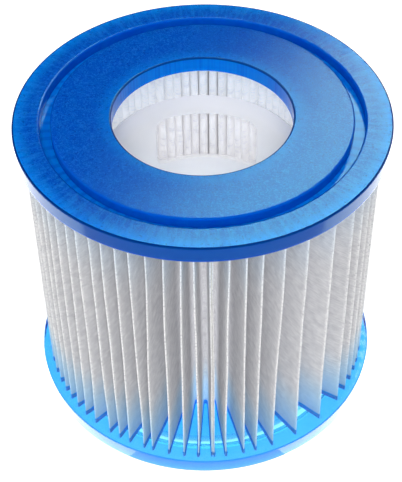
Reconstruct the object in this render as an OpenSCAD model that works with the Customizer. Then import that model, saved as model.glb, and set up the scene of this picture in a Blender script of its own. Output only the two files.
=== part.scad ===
// Pleated filter cartridge for a small spa pump: two cast end caps, a folded band of
// non-woven media glued into a ring, and a windowed core tube inside the folds.
// Origin at the centre of the bottom face, +Z up along the bore.

/* [Cartridge] */
// Outside diameter of both end caps
cartridge_d = 106; // [104:0.5:116]
// Height over the two end caps
cartridge_h = 95.6; // [80:0.1:130]

/* [End caps] */
// Thickness of each end cap
cap_h = 5; // [5:0.1:8]
// Bore through each end cap
bore_d = 50.8; // [44:0.1:52]
// Mean diameter of the mould groove in the outer face of each cap
groove_d = 87.7; // [70:0.1:94]
// Width of the mould groove
groove_w = 3; // [1.5:0.1:5]
// Depth of the mould groove
groove_depth = 3; // [1:0.1:3.2]
// Chamfer on the rim and bore edges of the caps
cap_edge = 0.4; // [0.1:0.1:0.8]

/* [Pleated media] */
// Number of pleats
pleats = 70; // [50:1:76]
// Diameter over the outer folds
media_d = 101.4; // [96:0.1:103]
// Thickness of the media
media_t = 0.55; // [0.3:0.05:0.7]
// Depth that each end of the media is cast into its cap
media_embed = 1.4; // [0.5:0.1:1.5]
// Angle of the glued pleat around the cartridge
seam_angle = -88; // [-180:1:180]
// How much wider than the others the widest pleat gap is
slack = 1.4; // [0:0.1:1.6]
// Pleat gap with the most slack, counted anticlockwise from the glued pleat
slack_at = 5; // [3:1:20]
// How unevenly the other pleats stand
unevenness = 0.13; // [0:0.01:0.2]
// Width of the glue line inside the seam pleat, measured along the pleat
glue_w = 6; // [3:0.5:12]

/* [Core tube] */
// Inside diameter of the core tube
core_bore_d = 52.2; // [52:0.1:54]
// Wall thickness of the core tube
core_t = 1.5; // [1:0.1:2]
// Length of the core tube
core_h = 60.8; // [56:0.1:68]
// Diameter over the flared rims, which carry the inner folds
rim_d = 60; // [59:0.1:62]
// Height of one window
window_h = 17.6; // [10:0.1:18]
// Width of a window as an angle around the tube
window_angle = 72; // [40:1:90]
// Angle of the first window's middle
window_at = 87; // [0:1:119]
// Height from each end of the tube to its nearest windows
rim_to_window = 4; // [4:0.1:8]
// Corner radius of a window
window_r = 3; // [1:0.1:4]

/* [Hidden] */
$fn = 128;

cap_color = [0.03, 0.38, 0.76];
media_color = [0.88, 0.88, 0.89];
glue_color = [0.80, 0.80, 0.78];
core_color = [0.90, 0.90, 0.94];

cap_r = cartridge_d / 2;
bore_r = bore_d / 2;
groove_in = groove_d / 2 - groove_w / 2;
groove_out = groove_in + groove_w;

// The media runs from inside one cap to inside the other.
media_r = media_d / 2;
rim_r = rim_d / 2;
media_low = cap_h - media_embed;
media_high = cartridge_h - cap_h + media_embed;

// Share of the circle that each pleat gap takes, and the sum of the shares before it. The two
// sines only keep the uneven gaps from falling into a pattern.
slack_spread = 1.5;
function gap_share(i) =
    1 + slack * exp(-pow((i - slack_at) / slack_spread, 2))
      + unevenness * (sin(137 * i) + 0.7 * sin(61 * i));
function shares(n) = n == 0 ? [0] : let (s = shares(n - 1)) concat(s, [s[n - 1] + gap_share(n - 1)]);
running = shares(pleats);
function tip_angle(i) = seam_angle + 360 * running[i] / running[pleats];
function fold_angle(i) = (tip_angle(i) + tip_angle(i + 1)) / 2;

// A point at radius r, a distance aside from the radius at angle a.
function beside(r, a, aside) = [r * cos(a) - aside * sin(a), r * sin(a) + aside * cos(a)];

// Half widths of a fold: the wide side is outside the bend and the tight side inside it.
fold_wide = media_t * 1.2;
fold_tight = media_t * 0.2;
glue_half = 0.15;

// The dirty side of the band, from one glued flap round to the other.
dirty_side = [
    for (i = [0 : pleats - 1]) each [
        beside(media_r, tip_angle(i), fold_wide),
        beside(rim_r + media_t, fold_angle(i), -fold_tight),
        beside(rim_r + media_t, fold_angle(i), fold_tight),
        beside(media_r, tip_angle(i + 1), -fold_wide)
    ]
];

// The clean side runs back the other way. It is open at the two glued flaps.
function clean_tip(i, side) = i == 0 || i == pleats
    ? beside(media_r, tip_angle(i), side * glue_half)
    : beside(media_r - media_t, tip_angle(i), side * fold_tight);
clean_side = [
    for (i = [pleats - 1 : -1 : 0]) each [
        clean_tip(i + 1, -1),
        beside(rim_r, fold_angle(i), fold_wide),
        beside(rim_r, fold_angle(i), -fold_wide),
        clean_tip(i, 1)
    ]
];

// The glue fills the wedge between the two flaps of the seam pleat.
glue_share = glue_w / (media_r - rim_r);
first_flap = beside(rim_r, fold_angle(0), -fold_wide);
last_flap = beside(rim_r, fold_angle(pleats - 1), fold_wide);
glue_outline = [
    clean_tip(0, 1),
    clean_tip(pleats, -1),
    clean_tip(pleats, -1) * (1 - glue_share) + last_flap * glue_share,
    clean_tip(0, 1) * (1 - glue_share) + first_flap * glue_share
];

core_low = (cartridge_h - core_h) / 2;
core_bore_r = core_bore_d / 2;
core_r = core_bore_r + core_t;
flare_h = rim_r - core_r;
lip_t = core_t * 0.7;
windows_around = 3;
window_w = 2 * core_bore_r * sin(window_angle / 2);
window_rows = [core_low + rim_to_window, core_low + core_h - rim_to_window - window_h];

module media_band(low, high) {
    translate([0, 0, low])
        linear_extrude(high - low)
            polygon(concat(dirty_side, clean_side));
}

module glue_bead(low, high) {
    translate([0, 0, low])
        linear_extrude(high - low)
            polygon(glue_outline);
}

// One cap as it lies in its mould: outer face down, with the groove in it.
module cast_cap() {
    rotate_extrude()
        polygon([
            [bore_r + cap_edge, 0],
            [groove_in, 0],
            [groove_in, groove_depth],
            [groove_out, groove_depth],
            [groove_out, 0],
            [cap_r - cap_edge, 0],
            [cap_r, cap_edge],
            [cap_r, cap_h - cap_edge],
            [cap_r - cap_edge, cap_h],
            [bore_r + cap_edge, cap_h],
            [bore_r, cap_h - cap_edge],
            [bore_r, cap_edge]
        ]);
}

module bottom_end_cap() {
    color(cap_color)
        difference() {
            cast_cap();
            media_band(media_low, media_high);
            glue_bead(media_low, media_high);
        }
}

module top_end_cap() {
    color(cap_color)
        difference() {
            translate([0, 0, cartridge_h])
                mirror([0, 0, 1])
                    cast_cap();
            media_band(media_low, media_high);
            glue_bead(media_low, media_high);
        }
}

module pleated_media() {
    color(media_color)
        media_band(media_low, media_high);
}

module media_seam() {
    color(glue_color)
        glue_bead(media_low, media_high);
}

// A rounded rectangle from squares and circles, so that its corners stay true arcs.
module rounded_rectangle(w, h, r) {
    translate([-w / 2 + r, 0])
        square([w - 2 * r, h]);
    translate([-w / 2, r])
        square([w, h - 2 * r]);
    for (x = [-w / 2 + r, w / 2 - r], y = [r, h - r])
        translate([x, y])
            circle(r);
}

module window_cut(low) {
    translate([core_bore_r / 2, 0, low])
        rotate([90, 0, 90])
            linear_extrude(core_r)
                rounded_rectangle(window_w, window_h, window_r);
}

module core_tube() {
    top = core_low + core_h;
    color(core_color)
        difference() {
            rotate_extrude()
                polygon([
                    [core_bore_r, core_low + flare_h + core_t / 2],
                    [core_bore_r, top - flare_h - core_t / 2],
                    [rim_r - lip_t, top],
                    [rim_r, top],
                    [rim_r, top - core_t / 2],
                    [core_r, top - flare_h - core_t],
                    [core_r, core_low + flare_h + core_t],
                    [rim_r, core_low + core_t / 2],
                    [rim_r, core_low],
                    [rim_r - lip_t, core_low]
                ]);
            for (i = [0 : windows_around - 1], low = window_rows)
                rotate(window_at + i * 360 / windows_around)
                    window_cut(low);
        }
}

top_end_cap();
bottom_end_cap();
pleated_media();
media_seam();
core_tube();
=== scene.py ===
import math

import bpy
import numpy as np
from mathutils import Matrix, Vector
from mathutils.kdtree import KDTree


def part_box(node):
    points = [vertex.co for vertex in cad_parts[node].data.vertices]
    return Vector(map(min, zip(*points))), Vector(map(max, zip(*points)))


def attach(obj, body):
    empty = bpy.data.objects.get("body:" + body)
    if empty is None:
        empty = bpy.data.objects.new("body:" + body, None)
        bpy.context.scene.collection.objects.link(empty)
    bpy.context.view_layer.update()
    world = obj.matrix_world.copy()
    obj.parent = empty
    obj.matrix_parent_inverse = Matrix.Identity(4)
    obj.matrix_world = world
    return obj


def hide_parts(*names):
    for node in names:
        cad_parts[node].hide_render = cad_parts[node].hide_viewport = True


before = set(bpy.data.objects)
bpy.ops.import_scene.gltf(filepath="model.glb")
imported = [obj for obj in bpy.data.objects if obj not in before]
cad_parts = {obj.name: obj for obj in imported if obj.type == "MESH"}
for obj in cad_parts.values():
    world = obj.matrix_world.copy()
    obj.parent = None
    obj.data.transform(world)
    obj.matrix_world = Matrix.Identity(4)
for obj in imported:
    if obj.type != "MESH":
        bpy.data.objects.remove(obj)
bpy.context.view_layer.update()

bpy.ops.object.select_all(action="DESELECT")


# ---------------------------------------------------------------- pleated media
# The media is one strip of white spun-bonded polyester, a little under three metres long. A machine
# scores it and folds it into 70 pleats, and the pack is bent into a ring and glued at one pleat.
# Both ends of every fold are cast into the end caps, so only the walls between can lean and bow.
PLEATS = 70
CLOTH = 0.00028
TIP_R = 0.0507
FOLD_R = 0.0300
TIP_BEND = 0.00008
FOLD_BEND = 0.00080
TIP_CLEAR = 0.0002
SEAM_ANGLE = math.radians(-88)
media_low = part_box("pleated_media")[0][2]
media_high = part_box("pleated_media")[1][2]
cap_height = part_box("bottom_end_cap")[1][2]
top_cap_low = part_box("top_end_cap")[0][2]
open_height = top_cap_low - cap_height

# The pleats are spread a little unevenly, and the slack is in a wide gap a few pleats from the seam.
SLACK_AT = 5
SLACK_PLEATS = 1.5
SLACK = 1.4
UNEVEN = 0.13


def gap_share(i):
    slack = SLACK * math.exp(-(((i - SLACK_AT) / SLACK_PLEATS) ** 2))
    return 1 + slack + UNEVEN * (math.sin(math.radians(137 * i)) + 0.7 * math.sin(math.radians(61 * i)))


shares = np.cumsum([0.0] + [gap_share(i) for i in range(PLEATS)])
tip_angles = SEAM_ANGLE + 2 * math.pi * shares / shares[-1]


def beside(radius, angle, aside):
    """The plan point at a radius and angle, moved sideways, as arrays."""
    x = radius * np.cos(angle) - aside * np.sin(angle)
    y = radius * np.sin(angle) + aside * np.cos(angle)
    return np.stack([x, y], -1)


ROWS = 37
WALL_POINTS = 6
BEND_POINTS = 3
luck = np.random.RandomState(7)
heights = np.linspace(media_low, media_high, ROWS)
free = np.clip((heights - cap_height) / open_height, 0, 1)
middle = np.sin(math.pi * free)


def wander(count, size):
    """One slow irregular wave per pleat along its height, still at both caps."""
    waves = sum(
        luck.uniform(-1, 1, (count, 1)) / k ** 1.4
        * np.sin(math.pi * k * free + luck.uniform(0, 6, (count, 1)))
        for k in (1, 2, 4, 7)
    )
    return size * waves * np.sqrt(middle)


TIP_LEAN = math.radians(0.7)
TIP_SWAY = math.radians(0.55)
SEAM_SWAY = math.radians(0.2)
FOLD_SWAY = math.radians(0.25)
TIP_IN_OUT = 0.00012
WALL_BOW = 0.00042
lean = luck.uniform(-1, 1, (PLEATS, 1)) * TIP_LEAN
tips = tip_angles[:-1, None] + lean * (free * 2 - 1) + wander(PLEATS, TIP_SWAY)
tips[0] = tip_angles[0] + wander(1, SEAM_SWAY)[0]
tips = np.vstack([tips, tips[:1] + 2 * math.pi])
folds = (tips[:-1] + tips[1:]) / 2 + wander(PLEATS, FOLD_SWAY)
tip_radii = TIP_R - CLOTH / 2 - TIP_BEND - TIP_CLEAR + wander(PLEATS + 1, TIP_IN_OUT)

# At the seam the strip ends in two cut flaps with ragged edges, a little apart.
FLAP_R = TIP_R - 0.0004
FLAP_APART = 0.00032
FLAP_RAGGED = 0.00025
ragged = luck.uniform(-1, 1, (2, ROWS)) * FLAP_RAGGED

bend_turns = [math.pi * k / (BEND_POINTS + 1) for k in range(1, BEND_POINTS + 1)]
columns = []
for i in range(PLEATS):
    bows = luck.uniform(-WALL_BOW, WALL_BOW, 2)
    for side, tip in ((1, i), (-1, i + 1)):
        flap = tip in (0, PLEATS)
        outer = beside(tip_radii[tip], tips[tip], side * TIP_BEND)
        if flap:
            outer = beside(FLAP_R + ragged[int(tip > 0)], tips[tip], side * FLAP_APART)
        inner = beside(np.full(ROWS, FOLD_R + CLOTH / 2 + FOLD_BEND), folds[i], -side * FOLD_BEND)
        across = np.stack([-np.sin(folds[i]), np.cos(folds[i])], -1)
        wall = []
        for s in np.linspace(0, 1, WALL_POINTS):
            bow = bows[int(side < 0)] * math.sin(math.pi * s) * (0.3 + 0.7 * middle)
            wall.append(outer * (1 - s) + inner * s + across * bow[:, None])
        if side > 0:
            columns += wall
            for a in bend_turns:
                radius = np.full(ROWS, FOLD_R + CLOTH / 2 + FOLD_BEND * (1 - math.sin(a)))
                columns.append(beside(radius, folds[i], -FOLD_BEND * math.cos(a)))
        else:
            columns += wall[::-1]
            if not flap:
                for a in bend_turns:
                    radius = tip_radii[tip] + TIP_BEND * math.sin(a)
                    columns.append(beside(radius, tips[tip], -TIP_BEND * math.cos(a)))
columns = np.array(columns)
steps_along = np.linalg.norm(np.diff(columns[:, 0], axis=0), axis=1)
strip_run = np.concatenate([[0.0], np.cumsum(steps_along)])

bpy.ops.mesh.primitive_grid_add(x_subdivisions=len(columns) - 1, y_subdivisions=ROWS - 1, size=1)
media = bpy.context.object
media.name = media.data.name = "pleated_media_cloth"
flat = np.empty(len(media.data.vertices) * 3)
media.data.vertices.foreach_get("co", flat)
flat = flat.reshape(-1, 3)
column = np.rint((flat[:, 0] + 0.5) * (len(columns) - 1)).astype(int)
row = np.rint((flat[:, 1] + 0.5) * (ROWS - 1)).astype(int)
folded = np.column_stack([columns[column, row], heights[row]])
media.data.vertices.foreach_set("co", folded.ravel())
corner_vertex = np.empty(len(media.data.loops), dtype=int)
media.data.loops.foreach_get("vertex_index", corner_vertex)
strip_uv = np.column_stack([strip_run[column], heights[row]])[corner_vertex]
media.data.uv_layers[0].name = "strip"
media.data.uv_layers["strip"].data.foreach_set("uv", strip_uv.ravel())
media.data.update()
thick = media.modifiers.new("cloth thickness", "SOLIDIFY")
thick.thickness = CLOTH
thick.offset = 0
bpy.ops.object.modifier_apply(modifier=thick.name)
bpy.ops.object.shade_smooth()


# The cloth is a web of fine fibres that lie every way, bonded at random. Its outer folds carry a
# painted highlight. At both ends it is soaked with the blue vinyl of the caps, which climbs it by a
# millimetre.
def node(owner, kind, inputs=(), **settings):
    """Adds a shader node, sets its properties, and fills or links its named inputs."""
    added = owner.node_tree.nodes.new(kind)
    for name, value in settings.items():
        setattr(added, name, value)
    for name, value in dict(inputs).items():
        if isinstance(value, bpy.types.NodeSocket):
            owner.node_tree.links.new(value, added.inputs[name])
        else:
            added.inputs[name].default_value = value
    return added


def new_material(name):
    material = bpy.data.materials.new(name)
    material.use_nodes = True
    material.node_tree.nodes.clear()
    return material


def figure(material, operation, *values):
    """One sum on two or three values."""
    return node(material, "ShaderNodeMath", dict(enumerate(values)), operation=operation).outputs[0]


def fade(material, value, start, end, low=0.0, high=1.0, kind="LINEAR"):
    """A value that goes from low to high while another one goes from start to end."""
    return node(
        material, "ShaderNodeMapRange",
        {"Value": value, "From Min": start, "From Max": end, "To Min": low, "To Max": high},
        interpolation_type=kind,
    ).outputs[0]


def blend(material, amount, a, b):
    """Colour a where the amount is 0, and colour b where it is 1."""
    return node(material, "ShaderNodeMix", {"Factor": amount, 6: a, 7: b}, data_type="RGBA").outputs[2]


def noise(material, place, scale, detail, roughness=0.5, distortion=0.0):
    return node(
        material, "ShaderNodeTexNoise",
        {
            "Vector": place, "Scale": scale, "Detail": detail,
            "Roughness": roughness, "Distortion": distortion,
        },
    ).outputs["Fac"]


def places(material):
    """A point's place, its place as seen from above, and its distance from the axis."""
    place = node(material, "ShaderNodeTexCoord").outputs["Object"]
    level = node(material, "ShaderNodeVectorMath", {0: place, 1: (1, 1, 0)}, operation="MULTIPLY").outputs[0]
    radius = node(material, "ShaderNodeVectorMath", {0: level}, operation="LENGTH").outputs["Value"]
    return place, level, radius


CLUMP_SHARE = 0.45
THROUGH_SHARE = 0.38
THIN_WEB = (0.70, 0.70, 0.725, 1)
THICK_WEB = (0.98, 0.98, 0.985, 1)
# painted highlight colour for the outer folds
FOLD_HIGHLIGHT_WHITE = (0.99, 0.99, 0.99, 1)
# painted blue light from the caps
CAP_LIGHT_BLUE = (0.40, 0.76, 1.0, 1)
SOAKED_BLUE = (0.03, 0.50, 1.0, 1)
FIBRES_PER_METRE = (260, 2600, 1)
FIBRE_WAYS = ((35, 0.0), (-40, 3.0), (78, 7.0))

cloth = new_material("spun_bonded_cloth")
strip_place = node(cloth, "ShaderNodeUVMap", uv_map="strip").outputs["UV"]
fibres = None
for degrees, shift in FIBRE_WAYS:
    laid = node(
        cloth, "ShaderNodeMapping",
        {
            "Vector": strip_place, "Rotation": (0, 0, math.radians(degrees)),
            "Scale": FIBRES_PER_METRE, "Location": (shift, shift, 0),
        },
    ).outputs["Vector"]
    layer = noise(cloth, laid, 1.0, 2.0)
    fibres = layer if fibres is None else figure(cloth, "MAXIMUM", fibres, layer)
clumps = noise(cloth, strip_place, 420.0, 3.0)
fibre_tone = fade(cloth, fibres, 0.50, 0.74)
clump_tone = fade(cloth, clumps, 0.3, 0.7)
web = node(
    cloth, "ShaderNodeMix", {"Factor": CLUMP_SHARE, 2: fibre_tone, 3: clump_tone}, data_type="FLOAT",
).outputs[0]
white = blend(cloth, web, THIN_WEB, THICK_WEB)

# A painted highlight runs down each outer fold as a frayed white line.
HIGHLIGHT_START = TIP_R - 0.0012
HIGHLIGHT_FULL = TIP_R - 0.0004
place, level, radius = places(cloth)
fold_highlight = fade(cloth, radius, HIGHLIGHT_START, HIGHLIGHT_FULL)
fuzz = noise(cloth, strip_place, 1300.0, 2.0, roughness=0.8)
frayed_highlight = figure(cloth, "MULTIPLY", fold_highlight, fade(cloth, fuzz, 0.42, 0.51))
highlighted = blend(cloth, frayed_highlight, white, FOLD_HIGHLIGHT_WHITE)

# Blue light that comes up through the caps is painted onto the cloth as a blue tint, strongest near
# the lower cap and at the outer folds. Its ends are soaked, up to an uneven edge.
CAP_LIGHT_H = 0.023
LOW_CAP_LIGHT = 0.75
HIGH_CAP_LIGHT = 0.15
SOAK_H = 0.0008
SOAK_FADE = 0.0005
height = node(cloth, "ShaderNodeSeparateXYZ", {"Vector": place}).outputs["Z"]
from_middle = figure(cloth, "SUBTRACT", height, (media_low + media_high) / 2)
from_middle = figure(cloth, "ABSOLUTE", from_middle)
from_cap = figure(cloth, "SUBTRACT", open_height / 2, from_middle)
near_cap = fade(cloth, from_cap, CAP_LIGHT_H, 0.002, kind="SMOOTHSTEP")
depth_in = fade(cloth, radius, TIP_R, TIP_R - 0.008, 1.0, 0.6)
low_end = fade(cloth, height, 0.04, 0.06, LOW_CAP_LIGHT, HIGH_CAP_LIGHT)
cap_light = figure(cloth, "MULTIPLY", figure(cloth, "MULTIPLY", near_cap, depth_in), low_end)
cap_lit = blend(cloth, cap_light, highlighted, CAP_LIGHT_BLUE)
climb = figure(cloth, "MULTIPLY_ADD", clumps, SOAK_H, from_middle)
soak_start = open_height / 2 - SOAK_H
soaked = fade(cloth, climb, soak_start, soak_start + SOAK_FADE)
cloth_colour = blend(cloth, soaked, cap_lit, SOAKED_BLUE)
relief = node(cloth, "ShaderNodeBump", {"Height": web, "Strength": 0.8, "Distance": 0.0003}).outputs["Normal"]

# Light that enters the open web wanders from fold to fold, so the depths of the pack stay pale; it is painted
# in as a glow of the cloth. Most comes in through the bore, so the sides turned to the axis get more of it.
TIP_GLOW = 0.02
DEEP_GLOW = 0.10
FOLD_GLOW = 0.31
deep_in = fade(cloth, radius, TIP_R, TIP_R - 0.006, TIP_GLOW, DEEP_GLOW)
inmost = fade(cloth, radius, FOLD_R + 0.008, FOLD_R + 0.001, 0.0, FOLD_GLOW)
outward = node(cloth, "ShaderNodeVectorMath", {0: level}, operation="NORMALIZE").outputs[0]
facing = node(cloth, "ShaderNodeNewGeometry").outputs["Normal"]
facing_out = node(
    cloth, "ShaderNodeVectorMath", {0: outward, 1: facing}, operation="DOT_PRODUCT",
).outputs["Value"]
to_axis = fade(cloth, facing_out, 0.2, -0.1, 0.5, 1.0)
painted_glow = figure(cloth, "MULTIPLY_ADD", inmost, to_axis, deep_in)
front = node(
    cloth, "ShaderNodeBsdfPrincipled",
    {
        "Base Color": cloth_colour, "Roughness": 0.92, "Specular IOR Level": 0.25, "Normal": relief,
        "Emission Color": cloth_colour, "Emission Strength": painted_glow,
    },
)
through = node(cloth, "ShaderNodeBsdfTranslucent", {"Color": cloth_colour, "Normal": relief})
both = node(cloth, "ShaderNodeMixShader", {0: THROUGH_SHARE, 1: front.outputs[0], 2: through.outputs[0]})
node(cloth, "ShaderNodeOutputMaterial", {"Surface": both.outputs[0]})
media.data.materials.append(cloth)

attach(media, "root")
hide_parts("pleated_media")


# ------------------------------------------------------------------- media seam
# The two ends of the strip are laid face to face in one pleat with a line of hot-melt glue between
# them. The glue is milky, and it stops a little short of the cut edges.
GLUE = 0.0003
GLUE_DEEP = 0.005
GLUE_SHORT = 0.0009
GLUE_WAVE = 0.0003
THIN_GLUE = (0.62, 0.62, 0.60, 1)
THICK_GLUE = (0.80, 0.80, 0.78, 1)

bpy.ops.object.select_all(action="DESELECT")
bpy.ops.mesh.primitive_grid_add(x_subdivisions=6, y_subdivisions=ROWS * 2, size=1)
glue = bpy.context.object
glue.name = glue.data.name = "media_seam_glue"
for v in glue.data.vertices:
    share, up = v.co.x + 0.5, v.co.y + 0.5
    z = media_low + up * (media_high - media_low)
    edge = TIP_R - GLUE_SHORT + GLUE_WAVE * math.sin(up * 61) * math.sin(up * 23 + 1)
    glue_r = edge - (1 - share) * GLUE_DEEP
    angle = float(np.interp(z, heights, tips[0]))
    v.co = (glue_r * math.cos(angle), glue_r * math.sin(angle), z)
thick = glue.modifiers.new("bead", "SOLIDIFY")
thick.thickness = GLUE
thick.offset = 0
bpy.ops.object.modifier_apply(modifier=thick.name)
bpy.ops.object.shade_smooth()

hot_melt = new_material("hot_melt_glue")
place = places(hot_melt)[0]
lumps = noise(hot_melt, place, 900.0, 2.0)
milky = blend(hot_melt, lumps, THIN_GLUE, THICK_GLUE)
wavy = node(hot_melt, "ShaderNodeBump", {"Height": lumps, "Strength": 0.4, "Distance": 0.0003})
surface = node(
    hot_melt, "ShaderNodeBsdfPrincipled",
    {"Base Color": milky, "Roughness": 0.35, "Normal": wavy.outputs["Normal"]},
)
node(hot_melt, "ShaderNodeOutputMaterial", {"Surface": surface.outputs[0]})
glue.data.materials.append(hot_melt)

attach(glue, "root")
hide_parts("media_seam")


# -------------------------------------------------------------------- core tube
# A white polypropylene moulding that stands inside the folds. It has two rows of three windows for
# the water and a flared rim at each end, and the rims carry the inner folds.
core_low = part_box("core_tube")[0][2]
core_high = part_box("core_tube")[1][2]
core_middle = (core_low + core_high) / 2
CORE_R = 0.0276
CORE_WALL = 0.0015
CORE_SIDES = 192
RIM_R = 0.0300
FLARE_H = 0.0034
FLARE_RINGS = (0.0008, 0.0016, 0.0024, FLARE_H)
FLARE_CURVE = 1.15
WINDOW_H = 0.0176
WINDOW_W = 2 * (CORE_R - CORE_WALL) * math.sin(math.radians(36))
WINDOW_CORNER = 0.003
WINDOW_TURNS = (87, 207, 327)
RIM_TO_WINDOW = 0.0040
CUTTER_DEEP = 0.02
MOULDED_EDGE = 0.00025
MILK_LOW = (0.78, 0.775, 0.77, 1)
MILK_HIGH = (0.86, 0.855, 0.85, 1)

bpy.ops.object.select_all(action="DESELECT")
bpy.ops.mesh.primitive_cylinder_add(
    vertices=CORE_SIDES, radius=CORE_R, depth=core_high - core_low, end_fill_type="NOTHING",
    location=(0, 0, core_middle),
)
core = bpy.context.object
core.name = core.data.name = "windowed_core_tube"
bpy.ops.object.transform_apply(location=True)
bpy.ops.object.mode_set(mode="EDIT")
for ring in FLARE_RINGS:
    for z in (core_low + ring, core_high - ring):
        bpy.ops.mesh.select_all(action="SELECT")
        bpy.ops.mesh.bisect(plane_co=(0, 0, z), plane_no=(0, 0, 1))
bpy.ops.object.mode_set(mode="OBJECT")
for v in core.data.vertices:
    from_end = min(v.co.z - core_low, core_high - v.co.z)
    if from_end < FLARE_H:
        out = (RIM_R - CORE_R) * (1 - from_end / FLARE_H) ** FLARE_CURVE
        v.co.x *= 1 + out / CORE_R
        v.co.y *= 1 + out / CORE_R
thick = core.modifiers.new("wall", "SOLIDIFY")
thick.thickness = CORE_WALL
thick.offset = -1
thick.use_even_offset = True
bpy.ops.object.modifier_apply(modifier=thick.name)

cutters = []
for degrees in WINDOW_TURNS:
    for low in (core_low + RIM_TO_WINDOW, core_high - RIM_TO_WINDOW - WINDOW_H):
        bpy.ops.object.select_all(action="DESELECT")
        bpy.ops.mesh.primitive_cube_add(
            size=1, location=(CORE_R, 0, low + WINDOW_H / 2), scale=(CUTTER_DEEP, WINDOW_W, WINDOW_H),
        )
        cutter = bpy.context.object
        bpy.ops.object.transform_apply(location=True, scale=True)
        bpy.ops.object.mode_set(mode="EDIT")
        bpy.ops.mesh.select_all(action="DESELECT")
        bpy.ops.object.mode_set(mode="OBJECT")
        for e in cutter.data.edges:
            a, b = (cutter.data.vertices[k].co for k in e.vertices)
            e.select = abs(a.x - b.x) > CUTTER_DEEP / 2
        bpy.ops.object.mode_set(mode="EDIT")
        bpy.ops.mesh.select_mode(type="EDGE")
        bpy.ops.mesh.bevel(offset=WINDOW_CORNER, segments=8)
        bpy.ops.object.mode_set(mode="OBJECT")
        cutter.rotation_euler.z = math.radians(degrees)
        bpy.ops.object.transform_apply(rotation=True)
        cutters.append(cutter)
bpy.ops.object.select_all(action="DESELECT")
for cutter in cutters:
    cutter.select_set(True)
bpy.context.view_layer.objects.active = cutters[0]
bpy.ops.object.join()
cutter = bpy.context.object
bpy.ops.object.select_all(action="DESELECT")
core.select_set(True)
bpy.context.view_layer.objects.active = core
cut = core.modifiers.new("windows", "BOOLEAN")
cut.object = cutter
cut.solver = "EXACT"
bpy.ops.object.modifier_apply(modifier=cut.name)
bpy.data.objects.remove(cutter)
soft = core.modifiers.new("moulded edges", "BEVEL")
soft.width = MOULDED_EDGE
soft.segments = 2
soft.limit_method = "ANGLE"
soft.angle_limit = math.radians(40)
bpy.ops.object.modifier_apply(modifier=soft.name)
bpy.ops.object.shade_smooth_by_angle(angle=math.radians(35))

# The plastic is milky with a satin skin and the finest of grain from the mould.
moulded = new_material("moulded_white_polypropylene")
place = places(moulded)[0]
cloud = noise(moulded, place, 60.0, 3.0)
grain = noise(moulded, place, 2600.0, 2.0)
spark = node(moulded, "ShaderNodeBump", {"Height": grain, "Strength": 0.08, "Distance": 0.0002})
surface = node(
    moulded, "ShaderNodeBsdfPrincipled",
    {
        "Base Color": blend(moulded, cloud, MILK_LOW, MILK_HIGH), "Specular IOR Level": 0.5,
        "Roughness": fade(moulded, cloud, 0.0, 1.0, 0.34, 0.46), "Normal": spark.outputs["Normal"],
    },
)
node(moulded, "ShaderNodeOutputMaterial", {"Surface": surface.outputs[0]})
core.data.materials.append(moulded)

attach(core, "root")
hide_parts("core_tube")


# --------------------------------------------------------------------- end caps
# Each cap is liquid blue vinyl, poured 5 mm deep into a round mould, with the ring of folds stood in
# it until it sets. The mould leaves one groove in the outer face. On the inner face the vinyl climbs
# the cloth in a small fillet along every wall and stands in a round bead at every fold's tip.
CAP_R = 0.0530
BORE_R = 0.0254
GROOVE_IN = 0.04235
GROOVE_OUT = 0.04535
GROOVE_DEPTH = 0.0030
EDGE_ROUND = 0.0005
FILLET_H = 0.0005
FILLET_REACH = 0.00022
BEAD_H = 0.0006
BEAD_REACH = 0.0007
SPIN_STEPS = 1080
FACE_RINGS = 58
FILLETS_FROM = FOLD_R - 0.003
NEAR = 1e-5
TOUCHING = 1e-6


def select_vertices(obj, test):
    """Leaves edit mode, selects the vertices that pass the test, and goes back in."""
    bpy.ops.object.mode_set(mode="EDIT")
    bpy.ops.mesh.select_mode(type="VERT")
    bpy.ops.mesh.select_all(action="DESELECT")
    bpy.ops.object.mode_set(mode="OBJECT")
    for v in obj.data.vertices:
        v.select = test(v.co)
    bpy.ops.object.mode_set(mode="EDIT")


# The section of the cap is drawn upright beside the axis, and its edge is spun round.
bpy.ops.object.select_all(action="DESELECT")
bpy.ops.mesh.primitive_plane_add(
    size=1, location=((BORE_R + CAP_R) / 2, 0, cap_height / 2), rotation=(math.pi / 2, 0, 0),
)
bottom_cap = bpy.context.object
bottom_cap.name = bottom_cap.data.name = "bottom_cap_casting"
bottom_cap.scale = (CAP_R - BORE_R, cap_height, 1)
bpy.ops.object.transform_apply(location=True, rotation=True, scale=True)
bpy.ops.object.mode_set(mode="EDIT")
for cut_at, cut_normal in (
    ((GROOVE_IN, 0, 0), (1, 0, 0)), ((GROOVE_OUT, 0, 0), (1, 0, 0)), ((0, 0, GROOVE_DEPTH), (0, 0, 1)),
):
    bpy.ops.mesh.select_all(action="SELECT")
    bpy.ops.mesh.bisect(plane_co=cut_at, plane_no=cut_normal)
bpy.ops.mesh.select_mode(type="FACE")
bpy.ops.mesh.select_all(action="DESELECT")
bpy.ops.object.mode_set(mode="OBJECT")
for face in bottom_cap.data.polygons:
    face.select = GROOVE_IN < face.center.x < GROOVE_OUT and face.center.z < GROOVE_DEPTH
bpy.ops.object.mode_set(mode="EDIT")
bpy.ops.mesh.delete(type="FACE")
bpy.ops.mesh.select_all(action="SELECT")
bpy.ops.mesh.dissolve_faces()
bpy.ops.object.mode_set(mode="OBJECT")


def at(co, radius, height):
    return abs(co.x - radius) < NEAR and abs(co.z - height) < NEAR


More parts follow.
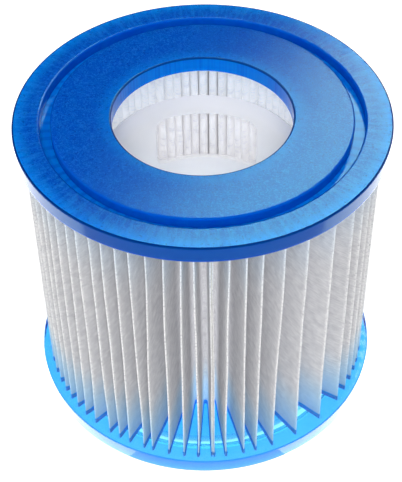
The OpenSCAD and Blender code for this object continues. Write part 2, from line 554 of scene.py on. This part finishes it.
corners = [(r, z) for r in (BORE_R, CAP_R) for z in (0, cap_height)] + [(GROOVE_IN, 0), (GROOVE_OUT, 0)]
select_vertices(bottom_cap, lambda co: any(at(co, r, z) for r, z in corners))
bpy.ops.mesh.bevel(offset=EDGE_ROUND, segments=3, affect="VERTICES")
bpy.ops.mesh.select_all(action="SELECT")
bpy.ops.mesh.dissolve_limited(angle_limit=math.radians(1))
bpy.ops.mesh.select_all(action="SELECT")
bpy.ops.mesh.delete(type="ONLY_FACE")
select_vertices(bottom_cap, lambda co: abs(co.z - cap_height) < TOUCHING)
bpy.ops.mesh.subdivide(number_cuts=FACE_RINGS)

# One more ring beside every rounded edge keeps the flat faces flat when they are shaded smooth.
flat_from = EDGE_ROUND + 0.0001
for ring_r in (BORE_R + flat_from, GROOVE_IN - flat_from, GROOVE_OUT + flat_from, CAP_R - flat_from):
    select_vertices(bottom_cap, lambda co: co.z < GROOVE_DEPTH - NEAR)
    bpy.ops.mesh.bisect(plane_co=(ring_r, 0, 0), plane_no=(1, 0, 0), threshold=TOUCHING)
for ring_z in (flat_from, cap_height - flat_from):
    select_vertices(bottom_cap, lambda co: co.x < BORE_R + NEAR or co.x > CAP_R - NEAR)
    bpy.ops.mesh.bisect(plane_co=(0, 0, ring_z), plane_no=(0, 0, 1), threshold=TOUCHING)
bpy.ops.object.mode_set(mode="OBJECT")
turned = bottom_cap.modifiers.new("turned", "SCREW")
turned.angle = 2 * math.pi
turned.steps = turned.render_steps = SPIN_STEPS
turned.use_merge_vertices = True
turned.merge_threshold = TOUCHING
bpy.ops.object.modifier_apply(modifier=turned.name)
bpy.ops.object.mode_set(mode="EDIT")
bpy.ops.mesh.select_all(action="SELECT")
bpy.ops.mesh.remove_doubles(threshold=TOUCHING)
bpy.ops.mesh.normals_make_consistent(inside=False)
bpy.ops.object.mode_set(mode="OBJECT")

# The fillets and beads are raised by how near the face lies to the foot of the cloth. The groove's
# floor keeps how near it lies to a wall, where the walls behind it are painted on as lines of shade.
POINTS_PER_STEP = 6
SHADE_REACH = 0.0004
wall_line = KDTree(len(columns) * POINTS_PER_STEP)
foot = columns[:, 1]
for k in range(len(foot) - 1):
    for s in range(POINTS_PER_STEP):
        p = foot[k] + (foot[k + 1] - foot[k]) * s / POINTS_PER_STEP
        wall_line.insert((p[0], p[1], 0), k)
wall_line.balance()
tip_line = KDTree(PLEATS)
for i in range(PLEATS):
    tip_line.insert((TIP_R * math.cos(tips[i, 1]), TIP_R * math.sin(tips[i, 1]), 0), i)
tip_line.balance()
# nearness to a wall, for the painted shade lines on the groove floor
behind = bottom_cap.data.attributes.new("behind", "FLOAT", "POINT")
for v in bottom_cap.data.vertices:
    from_axis = math.hypot(v.co.x, v.co.y)
    spot = Vector((v.co.x, v.co.y, 0))
    on_inner_face = v.co.z > cap_height - TOUCHING
    if on_inner_face and FILLETS_FROM < from_axis < CAP_R - EDGE_ROUND - NEAR:
        off_wall = max(0.0, wall_line.find(spot)[2] - CLOTH / 2)
        off_tip = tip_line.find(spot)[2]
        fillet = FILLET_H * math.exp(-off_wall / FILLET_REACH)
        bead = BEAD_H * math.exp(-((off_tip / BEAD_REACH) ** 2))
        v.co.z += fillet + bead
    elif abs(v.co.z - GROOVE_DEPTH) < NEAR:
        behind.data[v.index].value = math.exp(-((wall_line.find(spot)[2] / SHADE_REACH) ** 2))
bpy.ops.object.shade_smooth_by_angle(angle=math.radians(50))


# The vinyl is clear blue right through, so thin places look pale and thick ones deep. The skin is
# glossy. The moulded outer faces have fine pits, wrinkles and flow marks that fan out over the ends
# of the pleats.
def step(vinyl, value, start, end):
    """A soft step from 0 at one value to 1 at the other."""
    return fade(vinyl, value, start, end, kind="SMOOTHSTEP")


def times(vinyl, a, b):
    return figure(vinyl, "MULTIPLY", a, b)


def fan_marks(vinyl, turn, radius, rays, rings, detail, roughness):
    """Streaks that run out from the axis, so many to a radian and so many to a metre outwards."""
    spread = node(
        vinyl, "ShaderNodeCombineXYZ", {"X": times(vinyl, turn, rays), "Y": times(vinyl, radius, rings)},
    ).outputs[0]
    return noise(vinyl, spread, 1.0, detail, roughness)


def flow_marks(vinyl, place):
    return noise(vinyl, place, 260.0, 4.0, distortion=1.5)


def outer_wall(vinyl, radius):
    """1 on the upright outer wall, and 0 on the faces."""
    return step(vinyl, radius, CAP_R - 0.00035, CAP_R - 0.00015)


def at_height(vinyl, height, level, off, on):
    """1 at one height, and 0 a hair above or below it."""
    apart = figure(vinyl, "ABSOLUTE", figure(vinyl, "SUBTRACT", height, level))
    return step(vinyl, apart, off, on)


# With the pleats behind it, the vinyl looks deep and closed. At the rim and round the bore, light that
# gets in from the side is painted in as paler blue, broken up by the fan marks.
SIDE_LIGHT_RIM = (0.0480, 0.0525)
SIDE_LIGHT_BORE_R = 0.0310
SIDE_LIGHT_BORE = 0.6
FLOW_SHARE = 0.3
RAY_SHARE = 0.22
WRINKLE_SHARE = 0.38
PIT_SHARE = 0.5
EDGE_SHADE_WIDTHS = (0.0006, 0.0005)
THICK_BLUE = (0.0, 0.095, 0.58, 1)
# painted side light at the rim and round the bore
SIDE_LIGHT_BLUE = (0.0, 0.27, 0.86, 1)
FLOW_BLUE = (0.0, 0.15, 0.70, 1)
RAY_BLUE = (0.02, 0.34, 0.92, 1)
WRINKLE_BLUE = (0.02, 0.26, 0.86, 1)
PIT_BLUE = (0.0, 0.03, 0.34, 1)
FLOOR_BLUE = (0.0, 0.21, 0.78, 1)
# painted shade of the walls behind the groove floor
FLOOR_WALL_SHADE = (0.0, 0.13, 0.64, 1)
WALL_BLUE = (0.0, 0.045, 0.31, 1)
# painted shade on the rounded edges
EDGE_SHADE_BLUE = (0.0, 0.03, 0.20, 1)

top_cap_high = top_cap_low + cap_height
deep = new_material("blue_vinyl_over_pleats")
place, _, radius = places(deep)
split = node(deep, "ShaderNodeSeparateXYZ", {"Vector": place})
turn = figure(deep, "ARCTAN2", split.outputs["Y"], split.outputs["X"])
height = split.outputs["Z"]
face = at_height(deep, height, top_cap_high, 3e-5, 2e-5)
floor = at_height(deep, height, top_cap_high - GROOVE_DEPTH, 2e-5, 1e-5)
in_groove = times(
    deep, step(deep, radius, GROOVE_IN - NEAR, GROOVE_IN), step(deep, radius, GROOVE_OUT + NEAR, GROOVE_OUT),
)
fan = fan_marks(deep, turn, radius, 30.0, 150.0, 5.0, 0.65)
rays = fan_marks(deep, turn, radius, 48.0, 130.0, 3.0, 0.6)
flow = flow_marks(deep, place)
pits = noise(deep, place, 1100.0, 3.0, roughness=0.6)
wrinkles = noise(deep, place, 900.0, 3.0, roughness=0.6, distortion=2.5)

near_rim = step(deep, radius, *SIDE_LIGHT_RIM)
near_bore = times(deep, step(deep, radius, SIDE_LIGHT_BORE_R, BORE_R), SIDE_LIGHT_BORE)
side_light = times(deep, figure(deep, "MAXIMUM", near_rim, near_bore), step(deep, fan, 0.15, 0.60))
blue = blend(deep, side_light, THICK_BLUE, SIDE_LIGHT_BLUE)
blue = blend(deep, times(deep, step(deep, flow, 0.4, 0.7), FLOW_SHARE), blue, FLOW_BLUE)
past_groove = step(deep, radius, GROOVE_OUT, GROOVE_OUT + 0.0006)
rayed = times(deep, times(deep, step(deep, rays, 0.46, 0.60), past_groove), RAY_SHARE)
blue = blend(deep, times(deep, rayed, face), blue, RAY_BLUE)
wrinkled = times(deep, times(deep, step(deep, wrinkles, 0.51, 0.58), face), WRINKLE_SHARE)
blue = blend(deep, wrinkled, blue, WRINKLE_BLUE)
pitted = times(deep, times(deep, step(deep, pits, 0.60, 0.66), face), PIT_SHARE)
blue = blend(deep, pitted, blue, PIT_BLUE)
wall_shade = node(deep, "ShaderNodeAttribute", attribute_name="behind").outputs["Fac"]
# The groove floor gets darker lines of painted shade where walls stand behind it.
blue = blend(deep, times(deep, in_groove, floor), blue, blend(deep, wall_shade, FLOOR_BLUE, FLOOR_WALL_SHADE))
blue = blend(deep, outer_wall(deep, radius), blue, WALL_BLUE)
# A thin dark line of painted shade runs along the rounded edges of the rim and the bore.
on_edge = step(deep, height, top_cap_high - EDGE_ROUND, top_cap_high - EDGE_ROUND * 0.8)
rim_shade = step(deep, radius, *(CAP_R - wide for wide in EDGE_SHADE_WIDTHS))
bore_shade = times(deep, step(deep, radius, *(BORE_R + wide for wide in EDGE_SHADE_WIDTHS)), 0.9)
edge_shade = times(deep, on_edge, figure(deep, "MAXIMUM", rim_shade, bore_shade))
blue = blend(deep, edge_shade, blue, EDGE_SHADE_BLUE)
skin_height = figure(deep, "ADD", times(deep, rays, 0.9), times(deep, wrinkles, 0.6))
skin_height = figure(deep, "ADD", skin_height, times(deep, flow, 0.5))
skin = node(
    deep, "ShaderNodeBump",
    {"Height": skin_height, "Strength": times(deep, face, 0.45), "Distance": 0.00006},
)
surface = node(
    deep, "ShaderNodeBsdfPrincipled",
    {
        "Base Color": blue, "Roughness": 0.12, "IOR": 1.45, "Subsurface Weight": 0.7,
        "Subsurface Radius": (0.15, 0.5, 1.0), "Subsurface Scale": 0.004, "Specular IOR Level": 0.3,
        "Specular Tint": (0.1, 1.0, 1.0, 1), "Normal": skin.outputs["Normal"],
    },
)
node(deep, "ShaderNodeOutputMaterial", {"Surface": surface.outputs[0]})

# The lower cap has light shining up through it. Its colour comes from the thickness of the vinyl,
# and only the outer wall has the full gloss of the mould.
CLEAR_LOW = (0.72, 0.93, 1.0, 1)
CLEAR_HIGH = (0.86, 0.97, 1.0, 1)
CLEAR_WALL = (0.015, 0.30, 0.86, 1)
DYE = (0.0, 0.80, 0.975, 1)
DYE_DENSITY = 560.0

clear = new_material("blue_vinyl_lit_through")
place, _, radius = places(clear)
flow = flow_marks(clear, place)
on_wall = outer_wall(clear, radius)
tint = blend(clear, step(clear, flow, 0.35, 0.7), CLEAR_LOW, CLEAR_HIGH)
tint = blend(clear, on_wall, tint, CLEAR_WALL)
skin = node(clear, "ShaderNodeBump", {"Height": flow, "Strength": 0.15, "Distance": 0.0003})
surface = node(
    clear, "ShaderNodeBsdfPrincipled",
    {
        "Base Color": tint, "Roughness": 0.12, "IOR": 1.2, "Transmission Weight": 0.92,
        "Coat Weight": fade(clear, on_wall, 0.0, 1.0, 0.1, 0.9), "Coat Roughness": 0.15,
        "Normal": skin.outputs["Normal"],
    },
)
depth = node(clear, "ShaderNodeVolumeAbsorption", {"Color": DYE, "Density": DYE_DENSITY})
node(clear, "ShaderNodeOutputMaterial", {"Surface": surface.outputs[0], "Volume": depth.outputs[0]})

# The top cap is the same casting, turned over.
top_cap = bottom_cap.copy()
top_cap.data = bottom_cap.data.copy()
top_cap.name = top_cap.data.name = "top_cap_casting"
bpy.context.collection.objects.link(top_cap)
for v in top_cap.data.vertices:
    v.co.z = top_cap_high - v.co.z
bpy.ops.object.select_all(action="DESELECT")
top_cap.select_set(True)
bpy.context.view_layer.objects.active = top_cap
bpy.ops.object.mode_set(mode="EDIT")
bpy.ops.mesh.select_all(action="SELECT")
bpy.ops.mesh.flip_normals()
bpy.ops.object.mode_set(mode="OBJECT")

bottom_cap.data.materials.append(clear)
top_cap.data.materials.append(deep)

for cap, name in ((bottom_cap, "bottom_end_cap"), (top_cap, "top_end_cap")):
    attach(cap, "root")
    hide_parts(name)


# --------------------------------------------------------- table, light, camera
# The cartridge stands on a white light table, which shines up through the lower cap. It is brighter
# under the bore and under the groove.
TABLE_GLOW = 1.0
BORE_GLOW = 3.2
GROOVE_GLOW = 0.5
bpy.ops.object.select_all(action="DESELECT")
bpy.ops.mesh.primitive_plane_add(size=6, location=(0, 0, -0.00005))
table = bpy.context.object
table.name = table.data.name = "light_table"
acrylic = new_material("white_acrylic")
away = places(acrylic)[2]
glow = fade(acrylic, away, BORE_R - 0.001, BORE_R - 0.002, TABLE_GLOW, BORE_GLOW)
past_inner = step(acrylic, away, GROOVE_IN, GROOVE_IN + 0.0002)
past_outer = step(acrylic, away, GROOVE_OUT, GROOVE_OUT + 0.0002)
under_groove = figure(acrylic, "SUBTRACT", past_inner, past_outer)
glow = figure(acrylic, "MULTIPLY_ADD", under_groove, GROOVE_GLOW, glow)
surface = node(
    acrylic, "ShaderNodeBsdfPrincipled",
    {
        "Base Color": (0.5, 0.5, 0.5, 1), "Roughness": 0.9,
        "Emission Color": (1, 1, 1, 1), "Emission Strength": glow,
    },
)
node(acrylic, "ShaderNodeOutputMaterial", {"Surface": surface.outputs[0]})
table.data.materials.append(acrylic)


def softbox(name, place, target, size, power, turn=0.0):
    data = bpy.data.lights.new(name, "AREA")
    data.shape = "RECTANGLE"
    data.size, data.size_y = size
    data.energy = power
    lamp = bpy.data.objects.new(name, data)
    lamp.location = place
    lamp.rotation_euler = (Vector(target) - Vector(place)).to_track_quat("-Z", "Y").to_euler()
    lamp.rotation_euler.z += turn
    bpy.context.collection.objects.link(lamp)
    return lamp


# One panel shows as a sheen on the cap's face, and three soft lamps fill in round the camera.
panel = softbox(
    "overhead_panel", (0.245, 0.820, 0.90), (0.245, 0.820, 0.0), (0.72, 0.46), 11.6, math.radians(55),
)
panel.data.color = (0.90, 0.84, 0.70)
panel.visible_diffuse = False
for name, stand, power in (
    ("camera_fill", (0, -0.95, 1.0), 8.5),
    ("left_fill", (-0.7, -0.9, 0.75), 1.5),
    ("top_fill", (0, -0.1, 1.3), 3.0),
):
    fill = softbox(name, stand, (0, 0, 0.05), (0.5, 0.5), power)
    fill.visible_glossy = False

# Two bright cards lie on the table, one on each side, and show only as shine in the outer walls.
CARD_ASIDE = 0.132
CARD_BACK = 0.073
for name, aside in (("left_card", -CARD_ASIDE), ("right_card", CARD_ASIDE)):
    card = softbox(name, (aside, CARD_BACK, -0.00002), (aside, CARD_BACK, 1), (0.216, 0.27), 0.40)
    card.visible_camera = False
    card.visible_diffuse = False
    card.visible_transmission = False

# The room is white all round, apart from a dark ceiling piece behind the cartridge.
DARK_PIECE_WAY = (0.0, 0.77, 0.64)
DARK_PIECE_EDGE = (math.cos(math.radians(50)), math.cos(math.radians(62)))
ROOM_STRENGTH = 0.45
world = bpy.data.worlds.new("studio")
world.use_nodes = True
world.node_tree.nodes.clear()
bpy.context.scene.world = world
heading = node(world, "ShaderNodeTexCoord").outputs["Generated"]
toward = node(world, "ShaderNodeVectorMath", {0: heading, 1: DARK_PIECE_WAY}, operation="DOT_PRODUCT")
white_part = fade(world, toward.outputs["Value"], *DARK_PIECE_EDGE, 0.0, ROOM_STRENGTH)
walls = node(world, "ShaderNodeBackground", {"Color": (1, 1, 1, 1), "Strength": white_part})
backdrop = node(world, "ShaderNodeBackground", {"Color": (1, 1, 1, 1)})
seen = node(world, "ShaderNodeLightPath").outputs["Is Camera Ray"]
choice = node(world, "ShaderNodeMixShader", {0: seen, 1: walls.outputs[0], 2: backdrop.outputs[0]})
node(world, "ShaderNodeOutputWorld", {"Surface": choice.outputs[0]})

camera_data = bpy.data.cameras.new("camera")
camera_data.lens = 95.08
camera = bpy.data.objects.new("camera", camera_data)
camera.location = (0, -0.2753, 0.3211)
camera.rotation_euler = (math.radians(44.95), math.radians(0.69), math.radians(-0.49))
bpy.context.collection.objects.link(camera)
bpy.context.scene.camera = camera
bpy.context.scene.view_settings.view_transform = "Standard"
